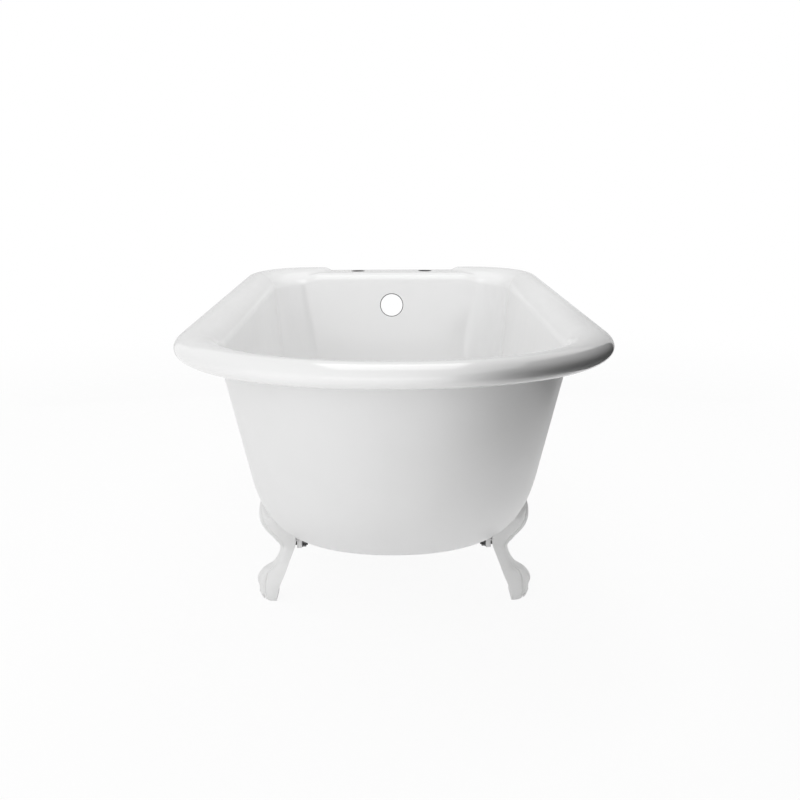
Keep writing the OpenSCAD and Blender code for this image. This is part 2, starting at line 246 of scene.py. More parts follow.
def combined(target: bpy.types.Object, other: bpy.types.Object, operation: str) -> None:
    """Joins another closed solid to a target (UNION) or cuts it away (DIFFERENCE), using it up."""
    modifier = target.modifiers.new("combine", "BOOLEAN")
    modifier.operation = operation
    modifier.solver = "MANIFOLD"
    modifier.object = other
    baked(target)
    bpy.data.objects.remove(other)


def finished(target: bpy.types.Object, crease: float = 32.0) -> bpy.types.Object:
    """Shades an object smooth, with edges sharper than crease degrees left crisp."""
    mesh = target.data
    mesh.polygons.foreach_set("use_smooth", [True] * len(mesh.polygons))
    mesh.set_sharp_from_angle(angle=math.radians(crease))
    weigher = target.modifiers.new("normals", "WEIGHTED_NORMAL")
    weigher.keep_sharp = True
    weigher.weight = 60
    return baked(target)


def flared_cutter(
    surface: Surface, place: Place, radius: float, seat: float, depth: float, flare: float
) -> None:
    """Adds a cutter for a hole whose mouth is eased.

    Args:
        surface: what the cutter is added to
        place: where the cutter's cross distances and axis lie
        radius: the hole's radius
        seat: how far along the axis the surface lies that the mouth opens in
        depth: how far the cutter reaches behind that surface, and in front of it
        flare: the radius of the eased mouth
    """
    arc_steps, widest, lift = 6, math.radians(84), 0.03 * flare
    turns = [widest * i / arc_steps for i in range(arc_steps + 1)]
    arc = [
        (radius + flare * (1 - math.cos(a)), seat - flare * (1 - math.sin(a)) + lift) for a in turns
    ]
    profile = [(radius, seat - depth)] + arc + [(arc[-1][0], seat + depth)]
    surface.add_spun(profile, place, 72, zone=Zone.HOLE)


def math_method(operation: str, swapped: bool = False) -> "Callable[[Value, Value | float], Value]":
    """A method that adds a Math node for a number in a node tree and another number."""

    def method(own: "Value", other: "Value | float") -> "Value":
        """Adds the node, with the other number first where the two are swapped."""
        first, second = (other, own) if swapped else (own, other)
        return own.shader.value("ShaderNodeMath", {0: first, 1: second}, operation=operation)

    return method


@dataclass
class Value:
    """A number in a material's node tree. Sums on it add Math nodes."""

    shader: "Shader"
    socket: bpy.types.NodeSocket

    __add__, __radd__ = math_method("ADD"), math_method("ADD", swapped=True)
    __sub__, __rsub__ = math_method("SUBTRACT"), math_method("SUBTRACT", swapped=True)
    __mul__, __rmul__ = math_method("MULTIPLY"), math_method("MULTIPLY", swapped=True)

    def step(self, low: float, high: float) -> "Value":
        """A soft step: 0 at low and 1 at high."""
        sockets = {"Value": self, "From Min": low, "From Max": high}
        settings = {"interpolation_type": "SMOOTHSTEP", "clamp": True}
        return self.shader.value("ShaderNodeMapRange", sockets, **settings)


class Shader:
    """The node tree of one material or of the world."""

    def __init__(self, tree: bpy.types.NodeTree) -> None:
        """Empties the tree."""
        self.tree = tree
        tree.nodes.clear()

    def add(
        self, kind: str, sockets: dict[Any, Any] | None = None, **settings: Any
    ) -> bpy.types.Node:
        """Adds a node.

        Args:
            kind: the node's type
            sockets: the values or links of its inputs, by name or number
            settings: its properties, set first

        Returns:
            The node.
        """
        node = self.tree.nodes.new(kind)
        for name, setting in settings.items():
            setattr(node, name, setting)
        for key, given in (sockets or {}).items():
            given = given.socket if isinstance(given, Value) else given
            if isinstance(given, bpy.types.NodeSocket):
                self.tree.links.new(given, node.inputs[key])
            else:
                node.inputs[key].default_value = given
        return node

    def value(self, kind: str, sockets: dict[Any, Any], **settings: Any) -> Value:
        """Adds a node and gives its first output as a number."""
        return Value(self, self.add(kind, sockets, **settings).outputs[0])

    def position(self) -> bpy.types.NodeSocket:
        """The place on the surface, in the part's frame and in metres."""
        return self.add("ShaderNodeTexCoord").outputs["Object"]

    def geometry(self, output: str) -> Value:
        """A number of the surface itself: its Pointiness, or whether it is Backfacing."""
        return Value(self, self.add("ShaderNodeNewGeometry").outputs[output])

    def noise(self, scale: float, detail: float = 2.0, stretch: Point = (1.0, 1.0, 1.0)) -> Value:
        """Cloudy noise round 0.5.

        Args:
            scale: how many clouds fit in a metre
            detail: how many finer layers it has
            stretch: how much closer the clouds lie along each axis

        Returns:
            The noise.
        """
        spread = self.add("ShaderNodeMapping", {"Vector": self.position(), "Scale": stretch})
        sockets = {"Vector": spread.outputs[0], "Scale": scale, "Detail": detail}
        return self.value("ShaderNodeTexNoise", sockets, noise_dimensions="3D")

    def colour(self, share: Value, first: Any, second: Colour) -> bpy.types.NodeSocket:
        """Mixes two colours by a share of the second. The first may be a socket."""
        start = first if isinstance(first, bpy.types.NodeSocket) else (*first, 1.0)
        sockets = {0: share, 6: start, 7: (*second, 1.0)}
        return self.add("ShaderNodeMix", sockets, data_type="RGBA").outputs[2]

    def bump(self, height: Value, depth: float, under: Any = None) -> bpy.types.NodeSocket:
        """A normal from a height of 0 to 1, depth millimetres deep, over any other normal."""
        sockets = {"Height": height, "Strength": 1.0, "Distance": depth * MM}
        if under is not None:
            sockets["Normal"] = under
        return self.add("ShaderNodeBump", sockets).outputs[0]


def made_material(name: str, surface: Callable[[Shader], bpy.types.Node]) -> bpy.types.Material:
    """A new material with the surface that a function adds to its node tree."""
    made = bpy.data.materials.new(name)
    made.use_nodes = True
    shader = Shader(made.node_tree)
    shader.add("ShaderNodeOutputMaterial", {"Surface": surface(shader).outputs[0]})
    return made


@dataclass(frozen=True)
class Finish:
    """What all finishes share: a name, two close colours that mottle it, and how rough it is."""

    name: str
    colour: Colour
    second_colour: Colour
    roughness: float

    def material(self) -> bpy.types.Material:
        """The finished material."""
        made = made_material(
            self.name, lambda shader: shader.add("ShaderNodeBsdfPrincipled", self.sockets(shader))
        )
        made.diffuse_color = (*self.colour, 1.0)
        return made

    def mottled(self, shader: Shader, share: Value) -> bpy.types.NodeSocket:
        """The two colours, mixed by a share of the second."""
        return shader.colour(share, self.colour, self.second_colour)

    def sockets(self, shader: Shader) -> dict[str, Any]:
        """What the surface's sockets hold. Each finish has its own."""
        raise NotImplementedError


@dataclass(frozen=True)
class GlossEnamel(Finish):
    """Porcelain enamel fired on cast iron: a glassy coat on a surface that is never quite flat."""

    coat: float = 0.2
    coat_roughness: float = 0.03
    wave_depth: float = 0.35
    peel_depth: float = 0.012

    def sockets(self, shader: Shader) -> dict[str, Any]:
        """Mottles the white, waves the surface and lays the glassy coat."""
        specks = shader.noise(420.0, 1.0).step(0.72, 0.8)
        shade = shader.noise(2.6, 3.0).step(0.35, 0.7) * 0.85 + specks * 0.15
        waves = shader.noise(7.0, 1.0) * 0.75 + shader.noise(34.0, 1.0) * 0.25
        waved = shader.bump(waves, self.wave_depth)
        return {
            "Base Color": self.mottled(shader, shade),
            "Roughness": self.roughness + 0.08 * shader.noise(11.0, 3.0),
            "Normal": shader.bump(shader.noise(210.0, 2.0), self.peel_depth, waved),
            "Coat Weight": self.coat,
            "Coat Roughness": self.coat_roughness,
            "IOR": GLASS_INDEX,
        }


@dataclass(frozen=True)
class CastPaint(Finish):
    """White paint on a cast surface: fine grain shows through, and creases are darkened by a
    painted shade that also stands for a little dust.
    """

    grain: float = 0.05
    # the grey that creases are darkened towards: painted shade, and a little dust
    crease_shade_and_dust: Colour = (0.45, 0.44, 0.42)
    crease_shade_and_dust_share: float = 0.7

    def sockets(self, shader: Shader) -> dict[str, Any]:
        """Mottles the paint, darkens its creases with painted shade and dust, and lets the
        casting's grain through.
        """
        painted = self.mottled(shader, shader.noise(4.5, 3.0).step(0.35, 0.7))
        # Painted shade: concave creases, found by low pointiness, are mixed towards a grey that
        # stands for shade in them as well as dust.
        shaded_and_dusty_creases = (1.0 - shader.geometry("Pointiness").step(0.4, 0.49)) * self.crease_shade_and_dust_share
        grain = shader.noise(160.0, 4.0) * 0.6 + shader.noise(48.0, 2.0) * 0.4
        return {
            "Base Color": shader.colour(shaded_and_dusty_creases, painted, self.crease_shade_and_dust),
            "Roughness": self.roughness + 0.12 * shader.noise(22.0, 3.0),
            "Normal": shader.bump(grain, self.grain),
            "IOR": GLASS_INDEX,
        }


@dataclass(frozen=True)
class Steel(Finish):
    """Plated or blackened steel, rubbed brighter on its edges."""

    metallic: float = 1.0
    rubbed: Colour = (0.45, 0.45, 0.46)
    grain: float = 0.02

    def sockets(self, shader: Shader) -> dict[str, Any]:
        """Streaks the plating, brightens the edges and grains the surface."""
        plated = self.mottled(shader, shader.noise(300.0, 3.0, (1.0, 1.0, 0.2)))
        edges = shader.geometry("Pointiness").step(0.53, 0.62)
        worn = edges * (0.4 + 0.6 * shader.noise(90.0, 2.0))
        return {
            "Base Color": shader.colour(worn, plated, self.rubbed),
            "Roughness": self.roughness + 0.2 * shader.noise(60.0, 3.0),
            "Metallic": self.metallic,
            "Normal": shader.bump(shader.noise(700.0, 2.0), self.grain),
        }


@dataclass(frozen=True)
class MouldedNylon(Finish):
    """Dark moulded nylon with a spark-eroded grain, scuffed where it stands on the floor."""

    grain: float = 0.03

    def sockets(self, shader: Shader) -> dict[str, Any]:
        """Scuffs the nylon and grains it."""
        scuffs = shader.noise(140.0, 4.0).step(0.5, 0.75)
        return {
            "Base Color": self.mottled(shader, scuffs),
            "Roughness": self.roughness + 0.15 * scuffs,
            "Normal": shader.bump(shader.noise(900.0, 2.0), self.grain),
        }


class Finishes(Enum):
    """The finishes of the bath, each with the name of the material slot that it belongs to."""

    ENAMEL = ("enamel", GlossEnamel("white_enamel", (0.91, 0.91, 0.91), (0.89, 0.89, 0.888), 0.08))
    HOLE = (
        "enamel",
        CastPaint("dark_ground_coat", (0.035, 0.035, 0.04), (0.05, 0.045, 0.045), 0.45),
    )
    OUTSIDE = ("enamel", CastPaint("white_outside", (0.87, 0.87, 0.87), (0.85, 0.85, 0.848), 0.3))
    FOOT = (
        "foot_paint",
        CastPaint("white_foot_paint", (0.87, 0.87, 0.868), (0.83, 0.83, 0.826), 0.3),
    )
    BLACK = ("dark_steel", Steel("black_oxide", (0.03, 0.03, 0.032), (0.05, 0.05, 0.05), 0.38, 0.7))
    ZINC = ("zinc_steel", Steel("zinc_plate", (0.62, 0.62, 0.63), (0.5, 0.5, 0.52), 0.28))
    NYLON = (
        "glide_nylon",
        MouldedNylon("dark_nylon", (0.035, 0.035, 0.036), (0.1, 0.1, 0.1), 0.55),
    )

    @property
    def slot(self) -> str:
        """The name of its material slot."""
        return self.value[0]

    def material(self) -> bpy.types.Material:
        """The material, made once and then shared."""
        finish = self.value[1]
        return bpy.data.materials.get(finish.name) or finish.material()


def tied(piece: bpy.types.Object, body: str, slot: str, node: str) -> None:
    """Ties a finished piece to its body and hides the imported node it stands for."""
    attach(piece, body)
    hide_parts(node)
    log.info("%s: %d faces, rides on %s", piece.name, len(piece.data.polygons), body)


def dressed(surface: Surface, finish: Finishes, body: str, node: str) -> None:
    """Makes a piece of one finish from a surface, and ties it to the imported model."""
    tied(finished(surface.to_object(f"{node}_dressed", [finish])), body, finish.slot, node)


class Ring(NamedTuple):
    """One level line of the shell, as the sizes that give its outline."""

    half: float
    head: float
    head_curve: float
    tap: float
    straight: float
    corner: float
    height: float
    deck_height: float
    bow: float = 0.0
    taper: float = 0.0

    @staticmethod
    def weighed(rings: Sequence["Ring"], weights: Sequence[float]) -> "Ring":
        """The ring that weighs others, size by size."""
        return Ring(*(sum(w * n for w, n in zip(weights, column)) for column in zip(*rings)))


@dataclass
class BathShell:
    """The casting: body, rolled rim, tap deck, lugs, and its overflow, waste and tap holes."""

    length: float = 1524
    width: float = 762
    rim_height: float = 584
    belly_height: float = 93
    wall: float = 7
    floor_fall: float = 0.008
    roll_height: float = 42
    roll_outer: float = 34
    roll_inner: float = 46
    crest_share: float = 0.7
    head_roll_extra: float = 10
    curl_angle: float = 55
    head_fullness: float = 2.15
    end_taper: float = 8
    end_half: float = 217
    rim_corner: float = 155
    end_bow: float = 20
    deck_width: float = 358
    deck_depth: float = 130
    deck_drop: float = 8
    deck_edge: float = 25
    deck_blend: float = 22
    deck_flare: float = 70
    tap_spacing: float = 177.8
    tap_hole: float = 35
    tap_inset: float = 54
    body_half: float = 256
    head_slope: float = 362
    head_round: float = 340
    tap_slope: float = 190
    foot_corner: float = 150
    foot_straight: float = 0.6
    floor_half: float = 142
    floor_start: float = 742
    floor_end: float = 290
    floor_corner: float = 130
    floor_curve: float = 0.67
    floor_straight: float = 0.42
    straight_share: float = 0.58
    head_stretch: float = 17
    corner_loss: float = 40
    overflow_hole: float = 57
    overflow_drop: float = 89
    waste_hole: float = 54
    waste_inset: float = 332
    waste_rim: float = 11
    waste_sink: float = 2
    stud_hole: float = 9.2
    stud: float = 8
    nut_gap: float = 0.5
    nut_flats: float = 13
    nut: float = 6.5
    washer: float = 1.5
    stud_tail: float = 3
    lug_thickness: float = 10
    lug_face: float = 195
    lug_half: float = 13
    lug_root: float = 3

    def __post_init__(self) -> None:
        """Works out the heights and places that follow from the sizes."""
        self.roll_bottom = self.rim_height - self.roll_height
        self.roll_middle = self.rim_height - self.roll_height / 2
        self.roll_width = self.roll_outer + self.roll_inner
        self.end_crest = self.roll_outer * self.crest_share
        self.deck_top = self.rim_height - self.deck_drop
        self.waste_y = self.length / 2 - self.waste_inset
        self.waste_seat = self.belly_height + self.wall - self.waste_sink
        self.wall_height = self.roll_bottom - self.belly_height
        self.curve_height = self.wall_height * (1 - self.straight_share)
        self.lug_back = self.lug_face - self.lug_thickness
        self.nut_back = self.lug_back - self.washer - self.nut
        self.stud_end = self.nut_back - self.stud_tail

    def roll_ring(self, side: float, end: float, z: float, z_deck: float) -> Ring:
        """A ring of the roll, from its insets at the sides and the tap end and its two heights."""
        share = side / self.roll_width
        return Ring(
            half=self.width / 2 - side,
            head=-self.length / 2 + side + self.head_roll_extra * share,
            head_curve=self.width / 2 - side + (self.head_stretch - self.head_roll_extra) * share,
            tap=self.length / 2 - end,
            straight=self.end_half,
            corner=self.rim_corner - self.corner_loss * end / self.deck_depth,
            bow=mix(self.end_bow, self.end_bow / 2, end / self.deck_depth),
            height=z,
            deck_height=z_deck,
            taper=self.end_taper,
        )

    def deck_z(self, end: float, start: float, flat_z: float) -> float:
        """The deck's height at an inset from the end: flat, then rounded down to the basin."""
        t = min(max((end - start) / self.deck_edge, 0.0), 1.0)
        return self.roll_bottom + (flat_z - self.roll_bottom) * math.sqrt(1 - t * t)

    def outer_roll(self, degrees: float, t: float) -> Ring:
        """The roll from lip to crest, by the angle from its widest line and the depth inwards."""
        a, rise = math.radians(degrees), self.roll_height / 2 - t
        deck_rise = self.deck_top - t - self.roll_middle
        return self.roll_ring(
            self.roll_outer - (self.roll_outer - t) * math.cos(a),
            self.end_crest - (self.end_crest - t) * math.cos(a),
            self.roll_middle + rise * math.sin(a),
            self.roll_middle + (rise if a < 0 else deck_rise) * math.sin(a),
        )

    def inner_roll(self, degrees: float, t: float) -> Ring:
        """The roll from its crest to the basin's wall, or its underside where t is the wall."""
        a = math.radians(degrees)
        end = self.end_crest + (self.deck_depth - self.end_crest - t) * math.sin(a)
        return self.roll_ring(
            self.roll_outer + (self.roll_inner - t) * math.sin(a),
            end,
            self.roll_bottom + (self.roll_height - t) * math.cos(a),
            self.deck_z(end, self.deck_depth - self.deck_edge - t, self.deck_top - t),
        )

    def guides(self, t: float) -> tuple[Ring, Ring, Ring]:
        """The rings that the body is weighed from: top of the wall, foot of the wall, floor."""
        low = self.belly_height + t
        foot = Ring(
            half=self.body_half - t,
            head=-self.length / 2 + self.head_slope + t,
            head_curve=self.head_round - t,
            tap=self.length / 2 - self.tap_slope - t,
            straight=self.end_half * self.foot_straight,
            corner=self.foot_corner - t,
            height=low,
            deck_height=low,
            taper=self.end_taper / 2,
        )
        floor = Ring(
            half=self.floor_half,
            head=-self.length / 2 + self.floor_start,
            head_curve=self.floor_half * self.floor_curve,
            tap=self.length / 2 - self.floor_end,
            straight=self.floor_half * self.floor_straight,
            corner=self.floor_corner,
            height=low,
            deck_height=low,
        )
        return self.inner_roll(90, self.wall - t), foot, floor

    def wall_ring(self, t: float, share: float) -> Ring:
        """A ring of the straight part of the wall."""
        top, foot, _ = self.guides(t)
        s = self.straight_share * share
        return Ring.weighed((top, foot), (1 - s, s))

    def curve_ring(self, t: float, share: float) -> Ring:
        """A ring of the curve from the wall down into the floor."""
        _, foot, floor = self.guides(t)
        s = 1 - share
        weights = (s * s, 2 * share * s, share * share)
        return Ring.weighed((self.wall_ring(t, 1), foot, floor), weights)

    def floor_ring(self, t: float, share: float) -> Ring:
        """A ring of the flat floor, which shrinks to a line along its middle."""
        floor = self.guides(t)[2]
        keep = 1 - share
        return floor._replace(
            half=floor.half * keep,
            head=floor.head + floor.head_curve * share,
            head_curve=floor.head_curve * keep,
            tap=floor.tap - floor.corner * share,
            straight=floor.straight * keep,
            corner=floor.corner * keep,
        )

    def tilt(self, y: float, z: float) -> float:
        """How far the fall of the floor lifts a point."""
        share = (self.roll_bottom - z) / self.wall_height
        return self.floor_fall * (self.waste_y - y) * min(max(share, 0.0), 1.0)

    def head_point(self, ring: Ring, turn: float) -> Plan:
        """A point of a ring's head end in plan, by the turn from its middle to its right side."""
        power = 2 / self.head_fullness
        reach = ring.head_curve * (1 - math.cos(turn) ** power)
        return ring.half * math.sin(turn) ** power, ring.head + reach

    def half_plan(self, ring: Ring) -> list[Plan]:
        """Half of a ring in plan, from the middle of the head end to the middle of the tap end."""
        head_steps, side_steps, corner_steps = 44, 14, 20
        side_end = ring.tap - ring.bow - ring.corner
        side_start = ring.head + ring.head_curve
        end_half = ring.half - ring.taper
        plan = [self.head_point(ring, math.pi / 2 * i / head_steps) for i in range(head_steps)]
        for i in range(side_steps):
            share = i / side_steps
            plan.append((ring.half - ring.taper * share, mix(side_start, side_end, share)))
        for i in range(corner_steps):
            a = math.pi / 2 * i / corner_steps
            x = ring.straight + (end_half - ring.straight) * math.cos(a)
            plan.append(self.bowed(ring, x, ring.tap - ring.corner + ring.corner * math.sin(a)))
        for share in self.end_shares():
            plan.append(self.bowed(ring, ring.straight * share, ring.tap))
        return plan

    def end_shares(self) -> list[float]:
        """Places across the straight end as shares of its half length, close at the deck's edge."""
        outer_steps, blend_steps, middle_steps = 6, 10, 10
        deck = self.deck_width / 2 / self.end_half
        inner = deck - self.deck_blend / self.end_half
        shares = [mix(1, deck, i / outer_steps) for i in range(outer_steps)]
        shares += [mix(deck, inner, i / blend_steps) for i in range(blend_steps)]
        return shares + [mix(inner, 0, i / middle_steps) for i in range(middle_steps + 1)]

    @staticmethod
    def bowed(ring: Ring, x: float, y: float) -> Plan:
        """Bows a point of the tap end out by its place across the bath."""
        across = x / ring.half if ring.half > 0 else 0.0
        return x, y - ring.bow + ring.bow * (1 - across * across)

    def on_deck(self, ring: Ring, x: float, y: float) -> float:
        """How much of the deck's height a ring has: 1 on the deck and 0 on the roll beside it."""
        if y < 0:
            return 0.0
        inward = self.length / 2 - ring.tap - self.end_crest
        flare = self.deck_flare * min(max(inward / (self.deck_depth - self.end_crest), 0.0), 1.0)
        return smooth((self.deck_width / 2 + flare - abs(x)) / (self.deck_blend + flare / 2))

    def raised(self, ring: Ring, x: float, y: float) -> Point:
        """Sets a point of a ring's plan at its height."""
        z = mix(ring.height, ring.deck_height, self.on_deck(ring, x, y))
        return x, y, z + self.tilt(y, z)

    def outline(self, ring: Ring) -> list[Point]:
        """All points of a ring."""
        half = [self.raised(ring, x, y) for x, y in self.half_plan(ring)]
        return half + [(-x, y, z) for x, y, z in half[-2:0:-1]]

    def lip_rings(self) -> list[Ring]:
        """The rounded edge of the lip, from its underside to its outer face."""
        steps = 5
        reach = math.degrees(self.wall / self.roll_height)
        rings = []
        for i in range(1, steps):
            a = math.pi * i / steps
            depth = self.wall / 2 * (1 + math.cos(a))
            rings.append(self.outer_roll(-self.curl_angle - reach * math.sin(a), depth))
        return rings

    def rings(self) -> tuple[list[Ring], list[Zone]]:
        """All rings, from the underside out, up, round the roll and down to the basin's floor."""
        body = ((self.floor_ring, 7), (self.curve_ring, 22), (self.wall_ring, 8))
        roll_steps, edge_steps, curl_steps = 16, 10, 6
        wall, curl = self.wall, self.curl_angle
        outside = [ring(0, 1 - i / steps) for ring, steps in body for i in range(steps)]
        outside += [self.inner_roll(90 * (1 - i / roll_steps), wall) for i in range(roll_steps)]
        outside += [self.outer_roll(90 * (1 - i / edge_steps), wall) for i in range(edge_steps)]
        outside += [self.outer_roll(-curl * i / curl_steps, wall) for i in range(curl_steps + 1)]
        inside = self.lip_rings()
        inside += [self.outer_roll(-curl * (1 - i / curl_steps), 0) for i in range(curl_steps + 1)]
        inside += [self.outer_roll(90 * i / edge_steps, 0) for i in range(1, edge_steps + 1)]
        inside += [self.inner_roll(90 * i / roll_steps, 0) for i in range(1, roll_steps + 1)]
        for ring, steps in reversed(body):
            inside += [ring(wall, i / steps) for i in range(1, steps + 1)]
        return outside + inside, [Zone.OUTSIDE] * len(outside) + [Zone.ENAMEL] * len(inside)

    def outer_half(self, y: float, z: float) -> float:
        """The body's outer half width at a place along it and a height."""
        rise = self.floor_fall * (self.waste_y - y)
        flat_z = (z - rise * self.roll_bottom / self.wall_height) / (1 - rise / self.wall_height)
        if flat_z > self.belly_height + self.curve_height:
            share = (self.roll_bottom - flat_z) / self.wall_height / self.straight_share
            return self.plan_half(self.wall_ring(0, share), y)
        drop = math.sqrt(max(flat_z - self.belly_height, 0) / self.curve_height)
        return self.plan_half(self.curve_ring(0, 1 - drop), y)

    def plan_half(self, ring: Ring, y: float) -> float:
        """A ring's half width at a place along the bath."""
        side_start = ring.head + ring.head_curve
        side_end = ring.tap - ring.bow - ring.corner
        head = (side_start - y) / ring.head_curve
        tap = (y - side_end) / ring.corner
        if head > 0:
            power = self.head_fullness
            return ring.half * max(1 - head**power, 0) ** (1 / power)
        if tap > 1:
            return 0.0
        if tap > 0:
            reach = ring.half - ring.taper - ring.straight
            return ring.straight + reach * math.sqrt(1 - tap * tap)
        return ring.half - ring.taper * (y - side_start) / (side_end - side_start)

    def stud_z(self, y: float) -> float:
        """The height of the stud at a place along the bath, its nut just under the body."""
        half = self.nut_flats / 2
        z = self.belly_height
        while max(self.outer_half(y - half, z), self.outer_half(y + half, z)) < self.stud_end:
            z += 0.05
        return z - half - self.nut_gap

    def lug(self, y: float, side: int) -> list[list[Point]]:
        """A lug's outlines along the bath, its top sunk into the wall.

        Args:
            y: the lug's place along the bath
            side: -1 on the left and 1 on the right

        Returns:
            Rings from one end of the lug to the other, drawn in at both ends.
        """
        bottom = self.stud_z(y) - 0.8 * self.stud
        back, face = self.lug_back, self.lug_face
        top_steps, ease = 6, 1.6
        tops = []
        for i in range(top_steps + 1):
            x = mix(face, back, i / top_steps)
            z = bottom
            while self.outer_half(y, z) < x + self.lug_root:
                z += 0.25
            tops.append((x, z))
        rings = []
        for inset, shift in ((ease, 0.0), (ease * 0.3, ease * 0.3), (0.0, ease)):
            rings.append((inset, -self.lug_half + shift))
        rings += [(inset, -along) for inset, along in reversed(rings)]
        made = []
        for inset, along in rings:
            low = [(back + inset, bottom + 1.5 * inset), (face - inset, bottom + 1.5 * inset)]
            top = [(min(max(x, back + inset), face - inset), z) for x, z in tops]
            made.append([(side * x, y + along, z) for x, z in low + top])
        return made

    def build(self, feet: "FootFrame") -> None:
        """Makes the casting with a lug for each foot and with its holes."""
        rings, zones = self.rings()
        skin = Surface()
        skin.add_rings([self.outline(ring) for ring in rings], zones, capped=False)
        finishes = [Finishes.ENAMEL, Finishes.OUTSIDE, Finishes.HOLE]
        shell = skin.to_object("bath_shell", finishes, weld=0.01)
        combined(shell, self._additions(feet).to_object("additions", finishes), "UNION")
        combined(shell, self._cutters(feet).to_object("cutters", finishes), "DIFFERENCE")
        tied(finished(shell), "bath", Finishes.ENAMEL.slot, "tub_shell")

    def _additions(self, feet: "FootFrame") -> Surface:
        """The four lugs and the boss under the waste hole."""
        surface = Surface()
        for corner in Corner:
            surface.add_rings(self.lug(feet.along(corner), corner.side), [Zone.OUTSIDE])
        seat, bottom = self.waste_seat, self.waste_seat - self.wall
        outer, ease, bulge = self.waste_hole / 2 + self.waste_rim, 1.2, 0.3
        boss = [(outer - ease, bottom), (outer - bulge, bottom + bulge)]
        boss += [(outer, bottom + ease), (outer, seat)]
        surface.add_spun(boss, upright(0, self.waste_y), 72, zone=Zone.OUTSIDE)
        return surface

    def _cutters(self, feet: "FootFrame") -> Surface:
        """What is cut away: tap, overflow and waste holes with eased mouths, and lug holes."""
        surface, reach, tap_flare, waste_flare = Surface(), 3 * self.wall, 1.2, 1.0
        for side in (-1, 1):
            at_tap = upright(side * self.tap_spacing / 2, self.length / 2 - self.tap_inset)
            flared_cutter(surface, at_tap, self.tap_hole / 2, self.deck_top, reach, tap_flare)
        self._cut_overflow(surface)
        seat, at_waste, clear = self.waste_seat, upright(0, self.waste_y), 20
        rim, inside = self.waste_hole / 2 + self.waste_rim, self.waste_hole / 2 - 6
        recess = [(inside, seat), (rim - 1.5, seat), (rim - 0.4, seat + 0.4), (rim, seat + 1.2)]
        recess += [(rim + 0.8, seat + self.waste_sink), (rim + 0.8, seat + clear)]
        recess += [(inside, seat + clear)]
        surface.add_spun(recess, at_waste, 72, joined=True)
        flared_cutter(surface, at_waste, self.waste_hole / 2, seat, clear, waste_flare)
        radius, spare = self.stud_hole / 2, 0.5
        hole = [(radius, self.lug_back - spare), (radius, self.lug_face + spare)]
        for corner in Corner:
            y = feet.along(corner)
            surface.add_spun(hole, crosswise(corner.side, y, self.stud_z(y)), 32, zone=Zone.HOLE)
        return surface

    def _cut_overflow(self, surface: Surface) -> None:
        """Adds the overflow hole's cutter, square to the end wall and eased on the basin's side."""
        z = self.rim_height - self.overflow_drop
        share = (self.roll_bottom - z) / self.wall_height / self.straight_share
        y = self.wall_ring(self.wall, share).tap
        top, foot, _ = self.guides(0)
        lean = math.atan((top.tap - foot.tap) / self.wall_height)
        inward = Vector((0, -math.cos(lean), math.sin(lean)))
        across = Vector((1, 0, 0))
        up = inward.cross(across)
        centre = Vector((0, y, z))
        place = lambda u, v, s: tuple(centre + across * u + up * v + inward * s)
        reach, flare = 3 * self.wall, 2.0
        flared_cutter(surface, place, self.overflow_hole / 2, 0.0, reach, flare)


@dataclass
class FootFrame:
    """Where the four feet stand, and the levelling screw and glide that each of them holds."""

    length: float
    head_inset: float = 595
    tap_inset: float = 242
    sole_reach: float = 247
    screw: float = 10
    glide: float = 15
    glide_height: float = 4

    def along(self, corner: Corner) -> float:
        """The foot's place along the bath."""
        half = self.length / 2
        return -half + self.head_inset if corner.at_head else half - self.tap_inset


class FootRow(NamedTuple):
    """One level of a foot: its height, front and back from the sole's middle, and half width."""

    height: float
    front: float
    back: float
    half: float


